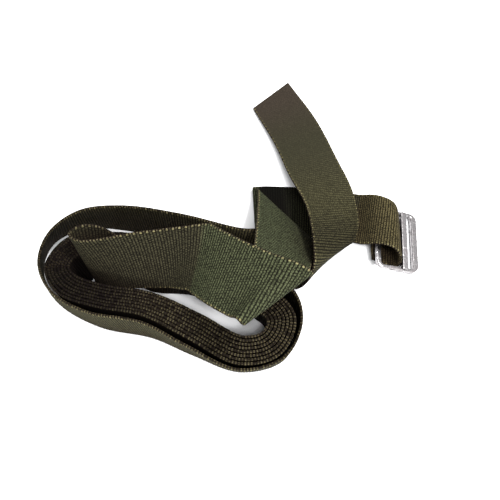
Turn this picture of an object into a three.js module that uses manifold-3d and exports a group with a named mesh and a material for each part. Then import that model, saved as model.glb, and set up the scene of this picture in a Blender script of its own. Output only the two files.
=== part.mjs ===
// Webbing tourniquet: a long strap, rolled on edge into an elongated coil, with a slide buckle on
// one end and a free tail on the other. Millimetres, +Z up. The origin is on the table, in the middle
// of the whole object's footprint; the buckle points to +X and the tail to +Y.
import * as THREE from 'three';
import Module from 'manifold-3d';
import { mergeVertices } from 'three/addons/utils/BufferGeometryUtils.js';

// ---- driving dimensions ----
const STRAP_WIDTH = 25;
const STRAP_THICKNESS = 1.0;
const COIL_TURNS = 8;
const COIL_LEAN = 3.5;            // how far the right-hand lobe's top leans toward -Y
const SECTION_GAP = 0.3;          // between the cut ends of two neighbouring sections
const HINGE_GAP = 0.8;            // the same at a place where the strap flexes
const STEPS_PER_STATION = 5;      // facets between two stations of a strap path

const FRAME_LENGTH = 19.6;        // along the strap
const FRAME_WIDTH = 28.6;         // across the strap
const FRAME_THICKNESS = 2.0;
const RAIL_WIDTH = 1.6;
const END_BAR_WIDTH = 2.5;
const LOOP_BAR_WIDTH = 2.2;       // the end bar that the sewn loop holds
const FRICTION_BAR_WIDTH = 2.6;
const FRICTION_BAR_X = 3.0;       // in the buckle's own frame
const LUG_THICKNESS = 0.9;        // of the friction bar's ends, which ride on the rails
const LUG_OVERLAP = 1.1;          // how far they reach over the rails
const BUCKLE_CENTRE = [95.3, 29.0, 3.5];
const THREAD_WIDTH = 0.5;         // a row of stitches, seen from above
const THREAD_HEIGHT = 0.35;
const BUCKLE_TURN_DEG = -5;
const BUCKLE_TILT_DEG = 14;       // the loop holds its end of the frame off the table

// ---- materials ----
const olive = new THREE.MeshStandardMaterial({ color: 0x4a4c34, roughness: 0.9, metalness: 0 });
const thread = new THREE.MeshStandardMaterial({ color: 0x3c3d2a, roughness: 0.8, metalness: 0 });
const steel = new THREE.MeshStandardMaterial({ color: 0xb4b0ac, roughness: 0.38, metalness: 0.95 });

const tourniquet = new THREE.Group();

function addMesh(name, geometry, material, parent = tourniquet) {
  const mesh = new THREE.Mesh(geometry, material);
  mesh.name = name;
  parent.add(mesh);
  return mesh;
}

// ---- strap sections ----
// A section is a closed ribbon. Each ring of four corners runs over one cross-section of the strap:
// outer top, outer bottom, inner bottom, inner top.
function ribbonGeometry(rings) {
  const positions = rings.flat().flatMap((corner) => corner.toArray());
  const faces = [];
  for (let ring = 0; ring < rings.length - 1; ring += 1) {
    for (let side = 0; side < 4; side += 1) {
      const a = ring * 4 + side;
      const b = ring * 4 + ((side + 1) % 4);
      faces.push(a, b, b + 4, a, b + 4, a + 4);
    }
  }
  const last = (rings.length - 1) * 4;
  faces.push(0, 2, 1, 0, 3, 2, last, last + 1, last + 2, last, last + 2, last + 3);
  const geometry = new THREE.BufferGeometry();
  geometry.setAttribute('position', new THREE.Float32BufferAttribute(positions, 3));
  geometry.setIndex(faces);
  return geometry;
}

// One selvedge pair of a strap path: where the two edges of the strap lie.
const station = (edgeA, edgeB) => ({ a: new THREE.Vector3(...edgeA), b: new THREE.Vector3(...edgeB) });

// A strap path runs smoothly through its stations. at(s) gives both edges, s counting in stations.
class StrapPath {
  constructor(stations) {
    this.count = stations.length - 1;
    this.edgeA = new THREE.CatmullRomCurve3(stations.map((one) => one.a), false, 'centripetal');
    this.edgeB = new THREE.CatmullRomCurve3(stations.map((one) => one.b), false, 'centripetal');
  }

  at(s) {
    return { a: this.edgeA.getPoint(s / this.count), b: this.edgeB.getPoint(s / this.count) };
  }

  middle(s) {
    const { a, b } = this.at(s);
    return a.clone().add(b).multiplyScalar(0.5);
  }

  // The station number that lies `distance` along the strap's middle from station s.
  shifted(s, distance) {
    const step = 0.01 * Math.sign(distance);
    let travelled = 0;
    let here = s;
    while (travelled < Math.abs(distance)) {
      travelled += this.middle(here).distanceTo(this.middle(here + step));
      here += step;
    }
    return here;
  }

  ring(s) {
    const { a, b } = this.at(s);
    const step = 0.02;
    const before = this.middle(Math.max(0, s - step));
    const after = this.middle(Math.min(this.count, s + step));
    const across = b.clone().sub(a).normalize();
    const half = after.sub(before).cross(across).setLength(STRAP_THICKNESS / 2);
    const corners = [a.clone().sub(half), b.clone().sub(half), b.clone().add(half), a.clone().add(half)];
    corners.forEach((corner) => {
      corner.z = Math.max(corner.z, 0);     // the table holds the strap up
    });
    return corners;
  }

  // A point over the strap's upper face: v runs from edge A (0) to edge B (1).
  above(s, v, height) {
    const [lowA, , highB, highA] = this.ring(s);
    const normal = highA.clone().sub(lowA).normalize();
    return highA.clone().lerp(highB, v).addScaledVector(normal, height);
  }

  section(from, to) {
    const steps = Math.max(2, Math.round((to - from) * STEPS_PER_STATION));
    const rings = [];
    for (let i = 0; i <= steps; i += 1) {
      rings.push(this.ring(from + ((to - from) * i) / steps));
    }
    return ribbonGeometry(rings);
  }
}

// Cuts a path into named sections. gapBefore is the space left between a section and the one before.
function addSections(path, sections) {
  sections.forEach(({ name, from, to, gapBefore = SECTION_GAP, gapAfter = SECTION_GAP }) => {
    const start = from === 0 ? 0 : path.shifted(from, gapBefore / 2);
    const end = to === path.count ? to : path.shifted(to, -gapAfter / 2);
    addMesh(name, path.section(start, end), olive);
  });
}

// ---- coil: tight turns standing on edge ----
// The outline is the outer face of the coil at its top, counter-clockwise from the back. Each corner
// has its own pitch, because the turns are packed tighter at the left-hand end.
const coilCorners = [
  { x: 20, y: 11.2, pitch: 1.45 },
  { x: -3, y: 20, pitch: 1.35 },
  { x: -24, y: 23.2, pitch: 1.2 },
  { x: -41.2, y: 20.8, pitch: 1.2 },
  { x: -48.6, y: 8.2, pitch: 1.25 },
  { x: -42.2, y: -3, pitch: 1.25 },
  { x: -27, y: -8.7, pitch: 1.2 },
  { x: -9, y: -12.2, pitch: 1.25 },
  { x: 8, y: -20.9, pitch: 1.35 },
  { x: 27, y: -30.5, pitch: 1.4 },
  { x: 42.8, y: -26.7, pitch: 1.4 },
  { x: 49.2, y: -12, pitch: 1.4 },
  { x: 40, y: 0.6, pitch: 1.4 },
];
const coilOutline = new THREE.CatmullRomCurve3(
  coilCorners.map(({ x, y }) => new THREE.Vector3(x, y, 0)), true, 'centripetal');

const coilLeanAt = (x) => COIL_LEAN * THREE.MathUtils.smoothstep(x, -5, 25);

// The strap's two edges where it passes corner number `corner`, counted on through the turns.
function coilStation(corner) {
  const { pitch } = coilCorners[corner % coilCorners.length];
  const u = (corner % coilCorners.length) / coilCorners.length;
  const tangent = coilOutline.getTangent(u);
  const inward = new THREE.Vector3(-tangent.y, tangent.x, 0);
  const depth = STRAP_THICKNESS / 2 + (pitch * corner) / coilCorners.length;
  const { x, y } = coilOutline.getPoint(u).addScaledVector(inward, depth);
  return station([x, y, STRAP_WIDTH], [x, y + coilLeanAt(x), 0]);
}

const coilLength = COIL_TURNS * coilCorners.length;
const coilPath = new StrapPath(Array.from({ length: coilLength + 1 }, (_, corner) => coilStation(corner)));
addSections(coilPath, Array.from({ length: COIL_TURNS }, (_, turn) => ({
  name: `coil_turn_${turn + 1}`,
  from: turn * coilCorners.length,
  to: (turn + 1) * coilCorners.length,
})));

// ---- tail path: from the coil's first turn round the loose outer turn to the free end ----
// Edge A is the upper edge of the loose turn, which becomes the tail's right-hand edge.
const tailPath = new StrapPath([
  station([21, 10.2, 25], [21, 13.2, 0]),
  station([33, 6.4, 25], [33, 8.9, 0]),
  station([43.5, 2.3, 25], [43.2, 4.2, 0]),
  station([49.2, -5, 24.7], [49, -4.5, 0]),
  station([49.8, -15, 24.7], [49.4, -14, 0]),
  station([43.3, -26.6, 24.5], [43.6, -23.2, 0]),
  station([27, -31.1, 24.5], [27, -27.2, 0]),
  station([8, -22.6, 25], [8, -20.6, 0]),
  station([-9, -13.9, 25], [-9, -13.5, 0]),
  station([-30, -9.8, 25], [-31, -8.9, 0]),
  station([-44.5, -1.5, 24.5], [-50, 1.5, 0]),
  station([-51.3, 11, 23.6], [-59, 15, 0]),
  station([-49, 23.5, 23.6], [-57, 28.5, 0]),
  station([-38.5, 32.6, 24.2], [-44, 36.5, 0]),
  station([-21, 34.5, 25], [-23, 35.5, 0]),
  station([3, 30.8, 25], [2, 29.5, 0]),
  station([28, 24.3, 24.8], [27.5, 21.5, 0]),
  station([39, 27.3, 18.2], [38, 12, 0.7]),
  station([53, 26, 5], [49.5, 6.8, 2]),
  station([67, 25.2, 4], [54, 6.6, 11]),
  station([75, 26.3, 7], [55.8, 10, 22]),
  station([77, 30, 10.8], [55.8, 17, 24.3]),
  station([78.4, 39.4, 8.5], [55.4, 31.4, 20]),
  station([77.2, 53.6, 6.5], [54, 44.6, 12.6]),
  station([71.8, 70.6, 5.5], [48.9, 60.7, 6.5]),
  station([63.8, 93.8, 4], [42.6, 80.7, 3.5]),
  station([50.9, 120.5, 1], [32.5, 103.7, 1]),
]);

addSections(tailPath, [
  { name: 'loose_turn_right', from: 0, to: 5 },
  { name: 'loose_turn_front', from: 5, to: 9 },
  { name: 'loose_turn_left', from: 9, to: 13 },
  { name: 'loose_turn_back', from: 13, to: 16 },
  { name: 'tail_under_pass', from: 16, to: 19 },
  { name: 'tail_fold', from: 19, to: 21, gapAfter: HINGE_GAP },
  { name: 'tail_root', from: 21, to: 23.4, gapBefore: HINGE_GAP, gapAfter: HINGE_GAP },
  { name: 'tail_middle', from: 23.4, to: 24.8, gapBefore: HINGE_GAP, gapAfter: HINGE_GAP },
  { name: 'tail_tip', from: 24.8, to: 26, gapBefore: HINGE_GAP },
]);

// ---- buckle path: from the coil's last turn, over the coil and under the tail, to the buckle ----
// Edge A is the upper edge over the coil, which becomes the buckle strap's edge nearer the coil.
const bucklePath = new StrapPath([
  station([14.4, 0.9, 25], [14.4, 3.5, 0]),
  station([3, 5.2, 25.4], [3, 5.4, 0.4]),
  station([-9, 9.2, 28], [-8, 5, 3.4]),
  station([-20.6, 17.8, 35], [-17, 5.5, 13.5]),
  station([-28, 20.4, 36], [-24.5, 6.6, 15.5]),
  station([-34, 19.4, 36.3], [-28, 6.4, 15.5]),
  station([-36.3, 16.4, 36.5], [-30, 5.2, 15.5]),
  station([-32, 13.6, 37], [-28.5, 3.9, 14.8]),
  station([-24, 13.7, 38], [-25, 2.6, 16]),
  station([-14.2, 15, 39.5], [-18.4, 1.4, 18.7]),
  station([3.4, 16.8, 41], [0, 0, 22.5]),
  station([14, 17.2, 43], [6.6, -3.2, 29.4]),
  station([16.7, 17.2, 43.5], [8.2, -3.9, 31]),
  station([18.7, 15.6, 44.5], [9.9, -5.8, 33.3]),
  station([26.9, 9, 48.5], [16.7, -12.9, 42]),
  station([38, 1.2, 53.5], [24.6, -19.1, 48.5]),
  station([47.6, -3, 54], [26.6, -21, 53.5]),
  station([52, -4.3, 50.5], [28.8, -22.4, 51]),
  station([51.3, -1.3, 45.5], [29.6, -17.3, 47]),
  station([53, 2.2, 35], [30.8, -8, 44.3]),
  station([54, 6.5, 24.5], [31.5, 2, 39.5]),
  station([57, 16, 16], [32.8, 17, 31]),
  station([58.8, 24.5, 10], [34, 37.6, 17.3]),
  station([57.5, 28.3, 6.3], [34.2, 52.6, 7.8]),
  station([53, 29.8, 4.2], [33.4, 54.2, 6.1]),
  station([37, 30.8, 4.2], [32.8, 55.4, 4.6]),
  station([33.7, 31.6, 2.4], [32.6, 57, 2.4]),
  station([37, 33, 0.5], [36.6, 58.4, 0.5]),
  station([41, 33.2, 0.5], [41.6, 58.4, 0.5]),
  station([56, 32.2, 0.5], [58, 57.4, 0.5]),
  station([70, 30.5, 0.5], [72, 55.5, 0.5]),
  station([75, 29.8, 0.5], [77, 54.8, 0.5]),
  station([80.3, 27.2, 3.3], [82, 52.3, 3.3]),
  station([85, 24.8, 8.8], [86.5, 49.2, 8.8]),
  station([89.3, 23, 11.1], [90.8, 46.3, 11.1]),
  station([93, 20.7, 10.7], [94.3, 43.8, 10.7]),
  station([94.9, 18.4, 7.5], [96.2, 41.2, 7.5]),
  station([95.2, 17.2, 4], [96.5, 41.1, 4]),
  station([93.6, 17.1, 0.8], [95, 41.2, 0.8]),
  station([88, 18.9, 1.5], [89.8, 43, 1.5]),
  station([83, 20, 4], [84, 44.9, 4]),
]);

addSections(bucklePath, [
  { name: 'coil_lead', from: 0, to: 3 },
  { name: 'small_loop', from: 3, to: 8 },
  { name: 'top_span_left', from: 8, to: 12 },
  { name: 'top_span_right', from: 12, to: 16 },
  { name: 'front_fold', from: 16, to: 18 },
  { name: 'rising_span', from: 18, to: 22 },
  { name: 'diagonal_fold', from: 22, to: 25 },
  { name: 'return_curl', from: 25, to: 27 },
  { name: 'buckle_strap_inner', from: 27, to: 31.6, gapAfter: HINGE_GAP },
  { name: 'buckle_strap_outer', from: 31.6, to: 33, gapBefore: HINGE_GAP },
  { name: 'buckle_loop', from: 33, to: 38 },
  { name: 'loop_return', from: 38, to: 40 },
]);

// ---- box stitch: a closed row of stitches that holds the sewn loop's two layers together ----
// It runs round a rectangle on the strap's upper face, from one corner to the next in equal steps.
function stitchGeometry(path, from, to, inset) {
  const stepsPerSide = 6;
  const length = path.middle(from).distanceTo(path.middle(to));
  const threadAlong = (THREAD_WIDTH / length) * (to - from);
  const threadAcross = THREAD_WIDTH / STRAP_WIDTH;
  const corners = [[0, 0], [1, 0], [1, 1], [0, 1]];
  const positions = [];
  const faces = [];
  corners.forEach(([s0, v0], side) => {
    const [s1, v1] = corners[(side + 1) % 4];
    for (let i = 0; i < stepsPerSide; i += 1) {
      const s = THREE.MathUtils.lerp(s0, s1, i / stepsPerSide);
      const v = THREE.MathUtils.lerp(v0, v1, i / stepsPerSide);
      [[0, 0.15], [0, 0.15 + THREAD_HEIGHT], [1, 0.15 + THREAD_HEIGHT], [1, 0.15]].forEach(([inner, height]) => {
        const sIn = THREE.MathUtils.lerp(from + inner * threadAlong, to - inner * threadAlong, s);
        const vIn = THREE.MathUtils.lerp(inset + inner * threadAcross, 1 - inset - inner * threadAcross, v);
        positions.push(...path.above(sIn, vIn, height).toArray());
      });
    }
  });
  const count = positions.length / 12;
  for (let ring = 0; ring < count; ring += 1) {
    for (let edge = 0; edge < 4; edge += 1) {
      const a = ring * 4 + edge;
      const b = ring * 4 + ((edge + 1) % 4);
      const nextA = ((ring + 1) % count) * 4 + edge;
      const nextB = ((ring + 1) % count) * 4 + ((edge + 1) % 4);
      faces.push(a, nextB, b, a, nextA, nextB);
    }
  }
  const geometry = new THREE.BufferGeometry();
  geometry.setAttribute('position', new THREE.Float32BufferAttribute(positions, 3));
  geometry.setIndex(faces);
  return geometry;
}

addMesh('box_stitch', stitchGeometry(bucklePath, 31.95, 32.75, 0.1), thread);

// ---- slide buckle ----
const wasm = await Module();
wasm.setup();

function toManifold(geometry) {
  const bare = geometry.clone();
  bare.deleteAttribute('normal');
  bare.deleteAttribute('uv');
  const merged = mergeVertices(bare, 1e-4);
  return new wasm.Manifold(new wasm.Mesh({
    numProp: 3,
    vertProperties: new Float32Array(merged.attributes.position.array),
    triVerts: new Uint32Array(merged.index.array),
  }));
}

function fromManifold(solid) {
  const { vertProperties, triVerts } = solid.getMesh();
  const geometry = new THREE.BufferGeometry();
  geometry.setAttribute('position', new THREE.BufferAttribute(vertProperties, 3));
  geometry.setIndex(new THREE.BufferAttribute(triVerts, 1));
  return geometry;
}

function roundedRectangle(x0, y0, x1, y1, radius) {
  const shape = new THREE.Shape();
  shape.absarc(x1 - radius, y1 - radius, radius, 0, Math.PI / 2);
  shape.absarc(x0 + radius, y1 - radius, radius, Math.PI / 2, Math.PI);
  shape.absarc(x0 + radius, y0 + radius, radius, Math.PI, Math.PI * 1.5);
  shape.absarc(x1 - radius, y0 + radius, radius, Math.PI * 1.5, Math.PI * 2);
  return shape;
}

function plate(shape, thickness, curveSegments = 6) {
  const geometry = new THREE.ExtrudeGeometry(shape, { depth: thickness, bevelEnabled: false, curveSegments });
  return geometry.translate(0, 0, -thickness / 2);
}

const buckle = new THREE.Group();
buckle.position.set(...BUCKLE_CENTRE);
buckle.rotation.set(
  0, THREE.MathUtils.degToRad(BUCKLE_TILT_DEG), THREE.MathUtils.degToRad(BUCKLE_TURN_DEG), 'ZYX');
tourniquet.add(buckle);

const halfLength = FRAME_LENGTH / 2;
const halfWidth = FRAME_WIDTH / 2;
const slotHalfWidth = halfWidth - RAIL_WIDTH;
const frameOutline = roundedRectangle(-halfLength, -halfWidth, halfLength, halfWidth, 3.5);
frameOutline.holes.push(roundedRectangle(
  -halfLength + LOOP_BAR_WIDTH, -slotHalfWidth, halfLength - END_BAR_WIDTH, slotHalfWidth, 1));
addMesh('buckle_frame', plate(frameOutline, FRAME_THICKNESS), steel, buckle);

// The friction bar lies across the frame's opening, and its lugs ride on top of the rails.
function barPlate(halfSpan, thickness, radius) {
  const half = FRICTION_BAR_WIDTH / 2;
  return plate(roundedRectangle(
    FRICTION_BAR_X - half, -halfSpan, FRICTION_BAR_X + half, halfSpan, radius), thickness);
}
const lugHeight = FRAME_THICKNESS / 2 + SECTION_GAP;
const barBody = barPlate(slotHalfWidth - 0.4, FRAME_THICKNESS, 0.3).translate(0, 0, SECTION_GAP);
const barLugs = barPlate(slotHalfWidth + LUG_OVERLAP, LUG_THICKNESS, 0.6)
  .translate(0, 0, lugHeight + LUG_THICKNESS / 2);
addMesh('friction_bar', fromManifold(toManifold(barBody).add(toManifold(barLugs))), steel, buckle);

// ---- origin: the middle of the footprint ----
const wholeBox = new THREE.Box3().setFromObject(tourniquet);
const footprintCentre = wholeBox.getCenter(new THREE.Vector3());
tourniquet.position.set(-footprintCentre.x, -footprintCentre.y, -wholeBox.min.z);

export default tourniquet;
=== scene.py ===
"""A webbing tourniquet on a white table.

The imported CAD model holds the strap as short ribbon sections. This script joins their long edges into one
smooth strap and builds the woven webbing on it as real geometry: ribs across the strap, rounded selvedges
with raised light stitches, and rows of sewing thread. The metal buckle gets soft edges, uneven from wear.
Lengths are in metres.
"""
import itertools
import math

import bmesh
import bpy
import numpy as np
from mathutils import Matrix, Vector, noise


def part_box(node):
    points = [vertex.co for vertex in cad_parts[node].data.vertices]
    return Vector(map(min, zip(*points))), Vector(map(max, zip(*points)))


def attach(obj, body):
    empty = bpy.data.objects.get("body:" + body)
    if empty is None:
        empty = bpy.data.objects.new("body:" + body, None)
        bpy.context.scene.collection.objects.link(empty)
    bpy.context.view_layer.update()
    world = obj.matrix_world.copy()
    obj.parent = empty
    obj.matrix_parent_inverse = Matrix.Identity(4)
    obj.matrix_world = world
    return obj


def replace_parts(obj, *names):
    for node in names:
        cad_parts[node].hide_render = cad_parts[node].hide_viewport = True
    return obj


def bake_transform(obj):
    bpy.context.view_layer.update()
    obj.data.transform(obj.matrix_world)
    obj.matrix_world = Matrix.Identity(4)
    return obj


MM = 0.001

# ---- webbing ----
STRAP_WIDTH = 25 * MM
CORE_HALF = 0.40 * MM           # half the strap's thickness in the groove between two ribs
RIB_PITCH = 1.1 * MM
RIB_HEIGHT = 0.13 * MM
SAMPLES_PER_RIB = 4
FLAT_RIB = 0.15                 # share of a rib's height that is left where the weave is pulled slanted
EDGE_RIB = 0.35                 # share of a rib's height that is left at the selvedge
EDGE_ROUNDING = 0.4 * MM
RIM_BULGE = 0.04 * MM           # a rib pushes the strap's edge out by this much
WEAVE_MEMORY = 22 * MM          # the direction of the ribs settles over this length after a fold
DOT_RIBS = 2                    # a light selvedge stitch shows on every second rib
DOT_HEIGHT = 0.05 * MM
DOT_INSET = 0.75 * MM           # from the edge to the middle of a selvedge stitch
DOT_SPREAD = 0.25 * MM
EDGE_COLUMNS = (0.10 * MM, 0.34 * MM, 0.68 * MM, 1.05 * MM, 1.5 * MM)
INNER_COLUMNS = 10
SMOOTHING = 0.5 * MM            # rounds off the facets of the CAD sections
BEND_REACH = 3.5 * MM           # length given to the direction away from a hinge line; nothing is bent by it
MERGE_GAP = 0.002 * MM          # vertices closer than this are one vertex

# ---- view ----
VIEW_TARGET = Vector((7.8, -18.5, 0)) * MM
VIEW_DISTANCE = 222 * MM
VIEW_ELEVATION = math.radians(66)
VIEW_ANGLE = math.radians(53.13)

COIL_TURNS = [f"coil_turn_{turn}" for turn in range(1, 9)]
STRAP_SECTIONS = [
    "tail_tip", "tail_middle", "tail_root", "tail_fold", "tail_under_pass",
    "loose_turn_back", "loose_turn_left", "loose_turn_front", "loose_turn_right",
    *COIL_TURNS,
    "coil_lead", "small_loop", "top_span_left", "top_span_right", "front_fold", "rising_span",
    "diagonal_fold", "return_curl", "buckle_strap_inner", "buckle_strap_outer", "buckle_loop", "loop_return",
]

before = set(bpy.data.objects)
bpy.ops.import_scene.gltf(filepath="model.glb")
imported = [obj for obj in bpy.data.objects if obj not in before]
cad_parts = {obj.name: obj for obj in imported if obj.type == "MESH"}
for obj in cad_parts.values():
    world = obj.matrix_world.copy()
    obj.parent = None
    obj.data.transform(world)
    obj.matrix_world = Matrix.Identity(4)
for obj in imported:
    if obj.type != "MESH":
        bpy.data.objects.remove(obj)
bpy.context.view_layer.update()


# ---- the strap's two edges, read from the CAD sections ----
def section_edges(node):
    """The four long edges of a strap section, as an array of (points along it, 4 corners, 3).

    The section's mesh is a chain of rings of four vertices. Only the vertices of the two end rings have
    fewer than six edges, and every ring is joined to the next by four straight edges and four diagonals.
    """
    bm = bmesh.new()
    bm.from_mesh(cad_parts[node].data)
    bmesh.ops.remove_doubles(bm, verts=bm.verts, dist=MERGE_GAP)
    near = {vertex: [edge.other_vert(vertex) for edge in vertex.link_edges] for vertex in bm.verts}
    ends = [vertex for vertex in bm.verts if len(near[vertex]) < 6]
    start = next(v for v in ends if sum(n in ends for n in near[v]) == 2)
    one, other = [v for v in near[start] if v in ends]
    opposite = next(v for v in near[one] if v in near[other] and v in ends and v is not start)
    rings = [[one, start, other, opposite]]
    seen = set(rings[0])
    while len(seen) < len(bm.verts):
        choices = [[n for n in near[vertex] if n not in seen] for vertex in rings[-1]]
        matches = [match for match in itertools.product(*choices) if len(set(match)) == 4]
        ring = min(matches, key=lambda match: sum((m.co - v.co).length for m, v in zip(match, rings[-1])))
        rings.append(list(ring))
        seen.update(ring)
    points = np.array([[tuple(vertex.co) for vertex in ring] for ring in rings])
    bm.free()
    return points


def gap(points, other_points):
    """Distance between the middles of two groups of points."""
    return np.linalg.norm(points.reshape(-1, 3).mean(0) - other_points.reshape(-1, 3).mean(0))


def join_sections(nodes):
    """All sections end to end: corner rings in the order edge A top, A bottom, B bottom, B top."""
    sections = [section_edges(node) for node in nodes]
    first, second = sections[0], sections[1]
    if gap(first[0], second) < gap(first[-1], second):
        first = first[::-1]
    if np.linalg.norm(first[0, 0] - first[0, 1]) > np.linalg.norm(first[0, 1] - first[0, 2]):
        first = np.roll(first, 1, axis=1)
    if first[0, 0, 2] < first[0, 1, 2]:
        first = first[:, [1, 0, 3, 2]]
    joined = [first]
    for section in sections[1:]:
        end = joined[-1][-1]
        if gap(section[0], end) > gap(section[-1], end):
            section = section[::-1]
        order = min(
            itertools.permutations(range(4)),
            key=lambda order: np.linalg.norm(section[0][list(order)] - end, axis=1).sum())
        joined.append(section[:, list(order)])
    return joined


def hermite(x, knots, values):
    """A smooth curve through the values at the knots, read at x."""
    slopes = np.gradient(values, knots, axis=0)
    i = np.clip(np.searchsorted(knots, x, side="right") - 1, 0, len(knots) - 2)
    h = (knots[i + 1] - knots[i])[:, None]
    t = ((x - knots[i]) / (knots[i + 1] - knots[i]))[:, None]
    return (
        (1 + 2 * t) * (1 - t) ** 2 * values[i]
        + t * (1 - t) ** 2 * h * slopes[i]
        + t * t * (3 - 2 * t) * values[i + 1]
        + t * t * (t - 1) * h * slopes[i + 1]
    )


def smoothed(values, sigma_steps):
    """Gaussian smoothing along the first axis, with both ends kept in place."""
    reach = int(3 * sigma_steps)
    kernel = np.exp(-0.5 * (np.arange(-reach, reach + 1) / sigma_steps) ** 2)
    kernel /= kernel.sum()
    head = 2 * values[0] - values[reach:0:-1]
    tail = 2 * values[-1] - values[-2:-reach - 2:-1]
    padded = np.concatenate([head, values, tail])
    return np.stack([np.convolve(padded[:, k], kernel, mode="valid") for k in range(values.shape[1])], axis=1)


def unit(vectors):
    return vectors / np.linalg.norm(vectors, axis=-1, keepdims=True)


class Strap:
    """The whole strap from the tail's tip to the sewn end, sampled several times on each rib."""

    def __init__(self, nodes):
        sections = join_sections(nodes)
        corners = np.concatenate(sections)
        middle = corners.mean(1)
        knots = np.concatenate([[0], np.cumsum(np.linalg.norm(np.diff(middle, axis=0), axis=1))])
        self.step = RIB_PITCH / SAMPLES_PER_RIB
        count = int(knots[-1] / self.step)
        self.s = np.arange(count) * self.step
        lines = hermite(self.s, knots, corners.reshape(-1, 12))
        lines = smoothed(lines, SMOOTHING / self.step).reshape(-1, 4, 3)
        self.a = lines[:, :2].mean(1)
        self.b = lines[:, 2:].mean(1)
        self.middle = (self.a + self.b) / 2
        self.across = unit(self.b - self.a)
        along = np.gradient(self.middle, axis=0)
        self.normal = unit(np.cross(self.across, along))
        up = (lines[:, 0] - lines[:, 1] + lines[:, 3] - lines[:, 2])
        self.normal *= np.sign(np.sum(self.normal * up, axis=1, keepdims=True))
        self.slant = self.weave_slant(along)
        self.spans = {}
        start = 0
        for node, section in zip(nodes, sections):
            self.spans[node] = (knots[start], knots[start + len(section) - 1])
            start += len(section)

    def weave_slant(self, along):
        """How far the weave runs on from edge A to edge B, in strap widths, along the line across the strap.

        Its short waves come from the lengths of the two edges. Its long ones come from the angle between the
        strap's direction and the line across it.
        """
        angle = np.sum(self.across * unit(along), axis=1, keepdims=True)
        lengths = [np.cumsum(np.linalg.norm(np.gradient(edge, axis=0), axis=1)) for edge in (self.a, self.b)]
        drift = ((lengths[1] - lengths[0]) / STRAP_WIDTH)[:, None]
        return (drift - smoothed(drift - angle, WEAVE_MEMORY / self.step))[:, 0]

    def index(self, s):
        """The nearest groove between two ribs to arc length s."""
        ribs = SAMPLES_PER_RIB
        return int(np.clip(round(s / self.step / ribs) * ribs, 0, (len(self.s) - 1) // ribs * ribs))

    def middle_of(self, node):
        return sum(self.spans[node]) / 2

    def between(self, node, other):
        """Arc length at the cut between two neighbouring sections."""
        low, high = sorted([self.spans[node], self.spans[other]])
        return (low[1] + high[0]) / 2

    def point(self, s, v, height):
        """A point over the upper face: v runs from edge A (0) to edge B (1)."""
        i = int(np.clip(round(s / self.step), 0, len(self.s) - 1))
        return self.a[i] + (self.b[i] - self.a[i]) * v + self.normal[i] * height


strap = Strap(STRAP_SECTIONS)


# ---- webbing mesh ----
def profile_columns():
    """Distances from edge A of the columns of vertices on one face of the strap."""
    edge = np.array(EDGE_COLUMNS)
    inner = np.linspace(edge[-1], STRAP_WIDTH - edge[-1], INNER_COLUMNS + 2)[1:-1]
    return np.concatenate([edge, inner, (STRAP_WIDTH - edge)[::-1]])


def webbing(name, first, last):
    """A closed piece of webbing between two sample numbers, both in a groove between ribs."""
    rows = np.arange(first, last + 1)
    columns = profile_columns()
    slant = strap.slant[rows][:, None]
    # how far along the weave each vertex lies: ribs stay square to the strap where a section's end is slanted
    weave = strap.s[rows][:, None] + (columns[None, :] - STRAP_WIDTH / 2) * slant
    rib = np.sqrt(np.abs(np.sin(math.pi * weave / RIB_PITCH)))
    dot = np.where(np.floor(weave / RIB_PITCH) % DOT_RIBS == 0, rib, 0.0)
    rib *= np.clip(1.6 - 6 * np.abs(slant), FLAT_RIB, 1)    # full height up to a slant of 0.1
    from_edge = np.minimum(columns, STRAP_WIDTH - columns)
    rounding = np.sqrt(1 - (1 - np.clip(from_edge / EDGE_ROUNDING, 0, 1)) ** 2)
    ribbed = np.clip(from_edge / MM, EDGE_RIB, 1)
    dotted = np.exp(-(((from_edge - DOT_INSET) / DOT_SPREAD) ** 2))
    height = (
        CORE_HALF * rounding[None, :]
        + RIB_HEIGHT * rib * ribbed[None, :]
        + DOT_HEIGHT * dot * dotted[None, :]
    )
    width = np.linalg.norm(strap.b[rows] - strap.a[rows], axis=1)
    offsets = (columns[None, :] / STRAP_WIDTH - 0.5) * width[:, None]
    spot = strap.middle[rows][:, None, :] + strap.across[rows][:, None, :] * offsets[:, :, None]
    lift = strap.normal[rows][:, None, :] * height[:, :, None]
    bulge = RIM_BULGE * rib
    rim_a = strap.a[rows] - strap.across[rows] * bulge[:, :1]
    rim_b = strap.b[rows] + strap.across[rows] * bulge[:, -1:]
    rings = np.concatenate(
        [rim_a[:, None], spot + lift, rim_b[:, None], (spot - lift)[:, ::-1]], axis=1)
    across_mm = np.concatenate([[0], columns, [STRAP_WIDTH], columns[::-1]]) / MM
    weave = np.concatenate([weave[:, :1], weave, weave[:, -1:], weave[:, ::-1]], axis=1)
    return closed_strip(name, rings, across_mm, weave / MM)


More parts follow.
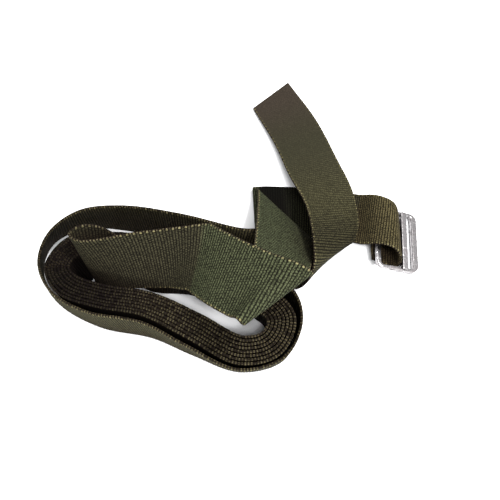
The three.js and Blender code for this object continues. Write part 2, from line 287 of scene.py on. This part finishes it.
def closed_strip(name, rings, across_mm, along_mm):
    """A tube through equal rings with flat ends. Its UV map holds millimetres across and along the weave."""
    count, size = rings.shape[:2]
    i, j = np.meshgrid(np.arange(count - 1), np.arange(size), indexing="ij")
    k = (j + 1) % size
    quads = np.stack([i * size + j, i * size + k, (i + 1) * size + k, (i + 1) * size + j], axis=-1)
    cap = [(j, j + 1, size - j - 1, size - j) for j in range(1, size // 2 - 1)]
    tips = [(0, 1, size - 1), (size // 2 - 1, size // 2, size // 2 + 1)]
    base = (count - 1) * size
    faces = quads.reshape(-1, 4).tolist()
    faces += [face[::-1] for face in cap + tips]
    faces += [tuple(base + v for v in face) for face in cap + tips]
    mesh = bpy.data.meshes.new(name)
    mesh.from_pydata(rings.reshape(-1, 3).tolist(), [], faces)
    loops = np.zeros(len(mesh.loops), np.int32)
    mesh.loops.foreach_get("vertex_index", loops)
    uv = np.stack([across_mm[loops % size], along_mm[loops // size, loops % size]], axis=1)
    mesh.uv_layers.new(name="UVMap").data.foreach_set("uv", uv.astype(np.float32).ravel())
    turned_out(mesh)
    mesh.shade_smooth()
    mesh.set_sharp_from_angle(angle=math.radians(75))
    piece = bpy.data.objects.new(name, mesh)
    bpy.context.scene.collection.objects.link(piece)
    return piece


def turned_out(mesh):
    """Faces of a closed mesh point out."""
    bm = bmesh.new()
    bm.from_mesh(mesh)
    if bm.calc_volume(signed=True) < 0:
        bmesh.ops.reverse_faces(bm, faces=bm.faces)
    bm.to_mesh(mesh)
    bm.free()


# ---- materials ----
def srgb(red, green, blue):
    """Scene-linear colour of an 8-bit screen colour."""
    def linear(value):
        share = value / 255
        return share / 12.92 if share <= 0.04045 else ((share + 0.055) / 1.055) ** 2.4
    return (linear(red), linear(green), linear(blue), 1)


class Shader:
    """A short way to write a node tree: every helper returns an output socket."""

    def __init__(self, name):
        self.material = bpy.data.materials.new(name)
        self.material.use_nodes = True
        self.tree = self.material.node_tree
        self.surface = self.tree.nodes["Principled BSDF"]

    def add(self, kind, inputs, output=0, **settings):
        node = self.tree.nodes.new(kind)
        for key, value in settings.items():
            setattr(node, key, value)
        for key, value in inputs.items():
            self.put(node.inputs[key], value)
        return node.outputs[output]

    def put(self, socket, value):
        if isinstance(value, bpy.types.NodeSocket):
            self.tree.links.new(value, socket)
        else:
            socket.default_value = value

    def set(self, **inputs):
        for key, value in inputs.items():
            self.put(self.surface.inputs[key.replace("_", " ")], value)

    def math(self, operation, *values):
        return self.add("ShaderNodeMath", dict(enumerate(values)), operation=operation)

    def times(self, value, *factors):
        for factor in factors:
            value = self.math("MULTIPLY", value, factor)
        return value

    def scaled(self, value, scale, offset):
        """value times scale, plus offset."""
        return self.math("MULTIPLY_ADD", value, scale, offset)

    def humps(self, turn, power):
        """A row of round humps, one each time turn grows by pi."""
        return self.math("POWER", self.math("ABSOLUTE", self.math("SINE", turn)), power)

    def ramp(self, value, low, high):
        """0 at low, 1 at high, smooth between."""
        inputs = {"Value": value, "From Min": low, "From Max": high, "To Min": 0.0, "To Max": 1.0}
        return self.add("ShaderNodeMapRange", inputs, interpolation_type="SMOOTHSTEP")

    def mix(self, factor, one, other, blend="MIX"):
        inputs = {0: factor, 6: one, 7: other}
        return self.add("ShaderNodeMix", inputs, output=2, data_type="RGBA", blend_type=blend)

    def noise(self, scale, detail):
        place = self.add("ShaderNodeTexCoord", {}, output="Object")
        return self.add("ShaderNodeTexNoise", {"Scale": scale, "Detail": detail, "Vector": place})

    def openness(self, reach, power):
        """1 on an open face, less in gaps and under overhanging strap."""
        openness = self.add("ShaderNodeAmbientOcclusion", {"Distance": reach}, output="AO", samples=8)
        return self.math("POWER", openness, power)

    def bump(self, strength, depth, height):
        return self.add("ShaderNodeBump", {"Strength": strength, "Distance": depth, "Height": height})


# ---- webbing material: lengths here are in mm, as in the strap's UV map ----
RIB_MM = RIB_PITCH / MM
GRAIN_PITCH = 0.95              # along a rib, from one grain to the next
SHEEN_TAIL = 88                  # the webbing is smoother, with painted sheen in its colour, up to here from the tail's tip
SHEEN_FADE = 55
TIP_FADE = 38.5                 # the tail's tip is browner up to here, as painted sheen
TAIL_FOOT = 74                  # from the tail's tip to the darker stretch next to its fold, where shade is painted into the colour
TAIL_FOOT_END = 104
CREASE = strap.between("top_span_left", "top_span_right") / MM
COIL_START = strap.spans["coil_turn_1"][0] / MM
COIL_END = strap.spans["coil_lead"][0] / MM
LOOP_END = strap.spans["small_loop"][1] / MM
FOLD_END = strap.spans["return_curl"][1] / MM
BUCKLE_START = strap.spans["buckle_strap_outer"][0] / MM

GROOVE = srgb(9, 8, 6)
GREEN_CREST = srgb(71, 76, 54)      # the last spans before the buckle
BROWN_CREST = srgb(71, 68, 51)
COIL_AND_SHADED_SPAN_CREST = srgb(57, 55, 40)       # the coil's tone; on the span before the crease it is painted shade
LOOSE_CREST = srgb(74, 71, 49)      # the loose turn and the tail
SHEEN_CREST = srgb(58, 56, 43)
TIP_SHEEN_CREST = srgb(66, 58, 50)
BUCKLE_CREST = srgb(82, 75, 51)
RIM = srgb(20, 15, 12)
RIM_THREAD = srgb(100, 93, 70)
STITCH = srgb(140, 132, 92)
# colours of painted shade: on the coil's left end and the tail's foot, and darker still inside the last fold
SHADE_COLOUR = srgb(7, 4, 5)
FOLD_SHADE_COLOUR = srgb(3, 3, 3)
# painted shade in gaps and under overhanging strap
GAP_SHADE = srgb(26, 18, 17)
GAP_SHADE_TINT = (0.45, 0.36, 0.4, 1)


class Cloth(Shader):
    """A shader that knows where it is on the strap."""

    def __init__(self, name):
        super().__init__(name)
        uv = self.add("ShaderNodeUVMap", {}, uv_map="UVMap")
        self.across = self.add("ShaderNodeSeparateXYZ", {0: uv}, output=0)
        self.along = self.add("ShaderNodeSeparateXYZ", {0: uv}, output=1)
        from_edge_b = self.math("SUBTRACT", STRAP_WIDTH / MM, self.across)
        self.from_edge = self.math("MINIMUM", self.across, from_edge_b)
        # painted sheen on the tail towards its tip, which also smooths the grain's relief
        self.smoothing_and_sheen = self.times(self.before(SHEEN_TAIL, SHEEN_FADE), 0.9)
        self.crest = self.humps(self.times(self.along, math.pi / RIB_MM), 1.6)
        self.fibre = self.ramp(self.noise(2000, 1), 0.38, 0.62)

    def after(self, place, fade):
        """0 up to a place along the strap, then rising to 1 over the fade."""
        return self.ramp(self.along, place, place + fade)

    def before(self, place, fade):
        """1 along the strap, falling over the fade to 0 at the place."""
        return self.ramp(self.along, place, place - fade)


def weave_grain(cloth):
    """0 in a groove, 1 on a grain: each rib's grains lie half a grain off those of the rib before it."""
    rib_number = cloth.math("FLOOR", cloth.math("DIVIDE", cloth.along, RIB_MM))
    shift = cloth.times(rib_number, math.pi / 2)
    warp = cloth.humps(cloth.scaled(cloth.across, math.pi / GRAIN_PITCH, shift), 1.2)
    grain = cloth.times(cloth.crest, cloth.scaled(warp, 0.7, 0.3), cloth.scaled(cloth.fibre, 1.5, 0.4))
    # towards the tail's tip the grain is flattened: painted sheen in the colour, a smoother relief in the
    # bump
    flattened_grain = cloth.scaled(cloth.fibre, 0.15, 0.42)
    return cloth.scaled(cloth.smoothing_and_sheen, cloth.math("SUBTRACT", flattened_grain, grain), grain)


def crest_colour(cloth):
    """Olive, greener on the last spans than on the coil and the tail."""
    green = cloth.times(cloth.after(CREASE - 3, 6), cloth.before(BUCKLE_START, 25))
    patch = cloth.ramp(cloth.noise(38, 2), 0.35, 0.7)
    brown = cloth.times(cloth.scaled(green, -0.9, 1.0), cloth.scaled(patch, 0.3, 0.7))
    colour = cloth.mix(brown, GREEN_CREST, BROWN_CREST)
    # the span before the crease gets the coil's darker colour as painted shade
    colour = cloth.mix(cloth.before(CREASE + 1, 2), colour, COIL_AND_SHADED_SPAN_CREST)
    colour = cloth.mix(cloth.before(COIL_START + 1, 2), colour, LOOSE_CREST)
    # painted sheen: the tail towards its tip is flatter and browner in tone
    colour = cloth.mix(cloth.smoothing_and_sheen, colour, SHEEN_CREST)
    colour = cloth.mix(cloth.before(TIP_FADE, TIP_FADE), colour, TIP_SHEEN_CREST)
    return cloth.mix(cloth.after(BUCKLE_START - 1, 2), colour, BUCKLE_CREST)


def rim_colour(cloth):
    """The very edge: dark brown, stippled with light thread on the ribs."""
    stipple = cloth.times(
        cloth.ramp(cloth.noise(900, 1), 0.35, 0.6),
        cloth.ramp(cloth.crest, 0.5, 0.9),
        cloth.ramp(cloth.from_edge, 0.0, 0.08))
    return cloth.mix(stipple, RIM, RIM_THREAD)


def selvedge_stitches(cloth):
    """1 on the light stitches beside the edge, which are fainter on the small loop and, under the painted
    sheen, on the tail.
    """
    place = cloth.math("FRACT", cloth.math("DIVIDE", cloth.along, RIB_MM * DOT_RIBS))
    off_centre = cloth.math("ABSOLUTE", cloth.math("SUBTRACT", place, 0.5 / DOT_RIBS))
    uneven = cloth.ramp(cloth.noise(420, 1), 0.3, 0.62)
    rubbed = cloth.times(cloth.after(COIL_END - 1, 1), cloth.before(LOOP_END + 25, 25))
    return cloth.times(
        cloth.ramp(off_centre, 0.21, 0.12),
        cloth.ramp(cloth.from_edge, 0.95, 0.75),
        cloth.ramp(cloth.from_edge, 0.25, 0.45),
        cloth.scaled(uneven, 0.5, 0.15),
        cloth.scaled(cloth.smoothing_and_sheen, -0.5, 1.0),
        cloth.scaled(rubbed, -0.6, 1.0))


def painted_shade(cloth, colour):
    """Painted shade: darker at the left end of the coil, at the tail's foot and inside the last fold."""
    place = cloth.add("ShaderNodeTexCoord", {}, output="Object")
    x = cloth.add("ShaderNodeSeparateXYZ", {0: place}, output=0)
    coil_left = cloth.times(
        cloth.ramp(x, -20 * MM, -50 * MM), cloth.before(COIL_END, 5), cloth.after(COIL_START - 5, 5))
    tail_foot = cloth.times(cloth.after(TAIL_FOOT, 20), cloth.before(TAIL_FOOT_END, 4))
    shade_amount = cloth.math("ADD", cloth.times(coil_left, 0.75), cloth.times(tail_foot, 0.4))
    colour = cloth.mix(shade_amount, colour, SHADE_COLOUR)
    inside_fold = cloth.times(cloth.after(FOLD_END - 3, 3), cloth.before(FOLD_END + 26, 18))
    return cloth.mix(cloth.times(inside_fold, 0.95), colour, FOLD_SHADE_COLOUR)


def webbing_material():
    cloth = Cloth("olive_webbing")
    grain = weave_grain(cloth)
    colour = cloth.mix(grain, GROOVE, crest_colour(cloth))
    rim = cloth.times(cloth.ramp(cloth.from_edge, 0.6, 0.3), 0.9)
    colour = cloth.mix(rim, colour, rim_colour(cloth))
    colour = cloth.mix(selvedge_stitches(cloth), colour, STITCH)
    # painted shade at the coil's left end, at the tail's foot and inside the last fold
    colour = painted_shade(cloth, colour)
    # painted shade: in gaps and under overhanging strap, where little light gets in, the colour is darkened
    # and tinted
    shaded_in_gap = cloth.mix(0.25, cloth.mix(1.0, colour, GAP_SHADE_TINT, blend="MULTIPLY"), GAP_SHADE)
    colour = cloth.mix(cloth.openness(18 * MM, 1.3), shaded_in_gap, colour)
    relief = cloth.scaled(cloth.fibre, 0.5, grain)
    bump = cloth.bump(0.6, 0.15 * MM, relief)
    cloth.set(Base_Color=colour, Roughness=0.9, Normal=bump, Specular_IOR_Level=0.04)
    return cloth.material


# ---- other materials ----
def thread_material():
    shader = Shader("sewing_thread")
    strand = shader.noise(1800, 2)
    colour = shader.mix(strand, srgb(26, 26, 18), srgb(74, 72, 52))
    bump = shader.bump(0.4, 0.08 * MM, strand)
    shader.set(Base_Color=colour, Roughness=0.75, Normal=bump, Sheen_Weight=0.2)
    return shader.material


def metal_material():
    shader = Shader("worn_plated_steel")
    cloud = shader.noise(260, 4)
    pits = shader.noise(1100, 3)
    stained = shader.ramp(cloud, 0.42, 0.66)
    edge = shader.add("ShaderNodeNewGeometry", {}, output="Pointiness")
    bare = shader.ramp(edge, 0.5, 0.56)
    colour = shader.mix(stained, srgb(158, 155, 156), srgb(104, 99, 100))
    colour = shader.mix(shader.times(bare, 0.8), colour, srgb(186, 184, 183))
    relief = shader.scaled(cloud, 0.6, shader.times(pits, 0.4))
    bump = shader.bump(0.35, 0.2 * MM, relief)
    shader.set(Base_Color=colour, Metallic=1.0, Roughness=shader.scaled(stained, 0.22, 0.24), Normal=bump)
    return shader.material


OLIVE = webbing_material()
THREAD = thread_material()
METAL = metal_material()


# ---- the strap's pieces ----
def strap_piece(name, start, end, replaced):
    piece = webbing(name, strap.index(start), strap.index(end))
    piece.data.materials.append(OLIVE)
    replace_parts(piece, *replaced)
    return piece


def bend_over(piece, near, far):
    """Bakes the piece's placing into its mesh; the direction across the hinge line at the cut between two
    sections is worked out, but the piece is not bent over it.
    """
    s = strap.between(near, far)
    i = strap.index(s)
    along = np.cross(strap.normal[i], strap.across[i])
    outwards = strap.middle[strap.index(strap.middle_of(far))] - strap.middle[i]
    along *= np.sign(along @ outwards) * BEND_REACH
    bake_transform(piece)


middle_cut = strap.middle_of("tail_middle")
root_cut = strap.middle_of("tail_root")
fold_cut = strap.middle_of("tail_fold")
inner_cut = strap.middle_of("buckle_strap_inner")
strap_start, strap_end = 0, strap.s[-1]

tail_tip = strap_piece("strap_tail_tip", strap_start, middle_cut, ["tail_tip"])
bend_over(tail_tip, "tail_middle", "tail_tip")
tail_middle = strap_piece("strap_tail_middle", middle_cut, root_cut, ["tail_middle"])
bend_over(tail_middle, "tail_root", "tail_middle")
tail_root = strap_piece("strap_tail_root", root_cut, fold_cut, ["tail_root", "tail_fold"])
bend_over(tail_root, "tail_fold", "tail_root")

turn_ends = [strap.spans[turn][0] for turn in COIL_TURNS] + [strap.spans["coil_lead"][0]]
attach(strap_piece("strap_loose_turn", fold_cut, turn_ends[0], STRAP_SECTIONS[4:9]), "coil")
for turn, (turn_start, turn_end) in zip(COIL_TURNS, zip(turn_ends, turn_ends[1:])):
    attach(strap_piece(f"strap_{turn}", turn_start, turn_end, [turn]), "coil")
upper_sections = STRAP_SECTIONS[STRAP_SECTIONS.index("coil_lead"):STRAP_SECTIONS.index("buckle_strap_inner")]
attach(strap_piece("strap_upper_spans", turn_ends[-1], inner_cut, upper_sections), "coil")

buckle_end = strap_piece(
    "strap_buckle_end", inner_cut, strap_end,
    ["buckle_strap_inner", "buckle_strap_outer", "buckle_loop", "loop_return"])
bend_over(buckle_end, "buckle_strap_inner", "buckle_strap_outer")


# ---- sewing thread ----
STITCH_LENGTH = 1.9 * MM
STITCH_GAP = 0.5 * MM
STITCH_RADIUS = 0.2 * MM
STITCH_HEIGHT = 0.58 * MM       # of a stitch's ends over the strap's middle surface


def stitch_row(bm, start, end):
    """A row of stitches between two (arc length, width share) places on the strap."""
    length = float(np.linalg.norm(strap.point(*end, 0) - strap.point(*start, 0)))
    count = max(1, round(length / (STITCH_LENGTH + STITCH_GAP)))
    share = STITCH_LENGTH / (STITCH_LENGTH + STITCH_GAP)
    for i in range(count):
        rings = []
        for k in range(6):
            t = (i + (1 - share) / 2 + share * k / 5) / count
            s = start[0] + (end[0] - start[0]) * t
            v = start[1] + (end[1] - start[1]) * t
            bow = math.sin(math.pi * k / 5)
            spot = Vector(strap.point(s, v, STITCH_HEIGHT + 0.06 * MM * bow))
            rings.append((spot, STITCH_RADIUS * (0.45 + 0.55 * bow)))
        capsule(bm, rings, Vector(strap.normal[strap.index(start[0])]))


def capsule(bm, rings, up):
    """A closed round thread through (centre, radius) rings."""
    sides = 8
    along = (rings[-1][0] - rings[0][0]).normalized()
    side = along.cross(up).normalized()
    up = side.cross(along)
    loops = []
    for centre, radius in rings:
        angles = [2 * math.pi * n / sides for n in range(sides)]
        spots = [centre + (side * math.cos(a) + up * math.sin(a)) * radius for a in angles]
        loops.append([bm.verts.new(spot) for spot in spots])
    for one, other in zip(loops, loops[1:]):
        for n in range(sides):
            bm.faces.new((one[n], one[(n + 1) % sides], other[(n + 1) % sides], other[n]))
    bm.faces.new(loops[0][::-1])
    bm.faces.new(loops[-1])


def new_piece(name, bm, material, body):
    bmesh.ops.recalc_face_normals(bm, faces=bm.faces)
    mesh = bpy.data.meshes.new(name)
    bm.to_mesh(mesh)
    bm.free()
    mesh.shade_smooth()
    piece = bpy.data.objects.new(name, mesh)
    piece.data.materials.append(material)
    bpy.context.scene.collection.objects.link(piece)
    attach(piece, body)
    return piece


def box_stitch():
    """A sewn rectangle with a cross in it, where the CAD model has its closed row of stitches."""
    low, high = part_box("box_stitch")
    start = strap.spans["buckle_strap_outer"][0]
    end = strap.spans["buckle_loop"][0]
    inside = [s for s, spot in zip(strap.s, strap.middle) if start < s < end and low.x < spot[0] < high.x]
    near, far = min(inside), max(inside)
    left, right = 0.1, 0.9
    corners = [(near, left), (far, left), (far, right), (near, right)]
    bm = bmesh.new()
    for i, corner in enumerate(corners):
        stitch_row(bm, corner, corners[(i + 1) % 4])
    stitch_row(bm, corners[0], corners[2])
    stitch_row(bm, corners[1], corners[3])
    piece = new_piece("box_stitch_rows", bm, THREAD, "buckle_strap")
    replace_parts(piece, "box_stitch")


box_stitch()


# ---- buckle ----
VOXEL = 0.22 * MM
CAST_ROUGHNESS = 0.035 * MM


def cast_piece(name, node, rounding, body):
    """The CAD shape with soft, slightly uneven edges, as a casting has after long wear."""
    bm = bmesh.new()
    bm.from_mesh(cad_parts[node].data)
    bmesh.ops.remove_doubles(bm, verts=bm.verts, dist=MERGE_GAP)
    bmesh.ops.dissolve_limit(bm, angle_limit=math.radians(2), verts=bm.verts, edges=bm.edges)
    mesh = bpy.data.meshes.new(name + "_blank")
    bm.to_mesh(mesh)
    bm.free()
    blank = bpy.data.objects.new(name + "_blank", mesh)
    bpy.context.scene.collection.objects.link(blank)
    bevel = blank.modifiers.new("rounding", "BEVEL")
    bevel.width = rounding
    bevel.segments = 4
    bevel.limit_method = "ANGLE"
    remesh = blank.modifiers.new("even faces", "REMESH")
    remesh.mode = "VOXEL"
    remesh.voxel_size = VOXEL
    smooth = blank.modifiers.new("soften", "SMOOTH")
    smooth.factor = 0.5
    smooth.iterations = 4
    bpy.context.view_layer.update()
    final = bpy.data.meshes.new_from_object(blank.evaluated_get(bpy.context.evaluated_depsgraph_get()))
    bpy.data.objects.remove(blank)
    bm = bmesh.new()
    bm.from_mesh(final)
    for vertex in bm.verts:
        uneven = noise.noise(vertex.co / (1.6 * MM)) + 0.5 * noise.noise(vertex.co / (0.6 * MM))
        vertex.co += vertex.normal * CAST_ROUGHNESS * uneven
    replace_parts(new_piece(name, bm, METAL, body), node)


cast_piece("buckle_frame_cast", "buckle_frame", 0.75 * MM, "buckle")
cast_piece("friction_bar_cast", "friction_bar", 0.45 * MM, "friction_bar")


# ---- table, light, camera ----
TABLE_HEIGHT = -0.16 * MM       # just under the ribs of the lowest strap


def table():
    bpy.ops.mesh.primitive_plane_add(size=40, location=(0, 0, TABLE_HEIGHT))
    floor = bpy.context.object
    floor.name = "table"
    shader = Shader("white_table")
    # hardly any light reaches the table in the corners under the strap
    lit = shader.ramp(shader.openness(14 * MM, 1.0), 0.0, 0.3)
    colour = shader.mix(lit, srgb(24, 20, 20), (0.93, 0.93, 0.94, 1))
    shader.set(Base_Color=colour, Roughness=0.6, Specular_IOR_Level=0.2)
    floor.data.materials.append(shader.material)


def area_light(name, location, target, size, power):
    light = bpy.data.lights.new(name, "AREA")
    light.shape = "DISK"
    light.size = size
    light.energy = power
    lamp = bpy.data.objects.new(name, light)
    lamp.location = location
    lamp.rotation_euler = (Vector(target) - Vector(location)).to_track_quat("-Z", "Y").to_euler()
    bpy.context.scene.collection.objects.link(lamp)


def sky(horizon, zenith):
    """A white room: dim at eye level, bright overhead."""
    world = bpy.data.worlds.new("studio")
    world.use_nodes = True
    nodes, links = world.node_tree.nodes, world.node_tree.links
    height = nodes.new("ShaderNodeSeparateXYZ")
    links.new(nodes.new("ShaderNodeTexCoord").outputs["Generated"], height.inputs[0])
    squared = nodes.new("ShaderNodeMath")
    squared.operation = "MULTIPLY"
    links.new(height.outputs["Z"], squared.inputs[0])
    links.new(height.outputs["Z"], squared.inputs[1])
    strength = nodes.new("ShaderNodeMath")
    strength.operation = "MULTIPLY_ADD"
    links.new(squared.outputs[0], strength.inputs[0])
    strength.inputs[1].default_value = zenith - horizon
    strength.inputs[2].default_value = horizon
    links.new(strength.outputs[0], nodes["Background"].inputs["Strength"])
    nodes["Background"].inputs["Color"].default_value = (1, 1, 1, 1)
    bpy.context.scene.world = world


def camera():
    lens = bpy.data.cameras.new("camera")
    lens.angle = VIEW_ANGLE
    lens.clip_start = 0.01
    view = bpy.data.objects.new("camera", lens)
    back = Vector((0, -math.cos(VIEW_ELEVATION), math.sin(VIEW_ELEVATION)))
    view.location = VIEW_TARGET + back * VIEW_DISTANCE
    view.rotation_euler = (math.pi / 2 - VIEW_ELEVATION, 0, 0)
    bpy.context.scene.collection.objects.link(view)
    bpy.context.scene.camera = view


table()
sky(0.6, 1.25)
area_light("ceiling_lamp", (0.22, -0.33, 0.70), (0, 0, 0), 0.1, 3.2)
area_light("front_lamp", (0.05, -0.26, 0.70), (0, 0, 0), 0.1, 1.6)
area_light("window", (0.3, 0.06, 0.72), (0, 0, 0), 0.14, 7.0)
area_light("front_fill", (-0.25, -0.55, 0.16), (-0.02, -0.03, 0), 0.2, 2.0)
camera()
bpy.context.scene.view_settings.view_transform = "Standard"
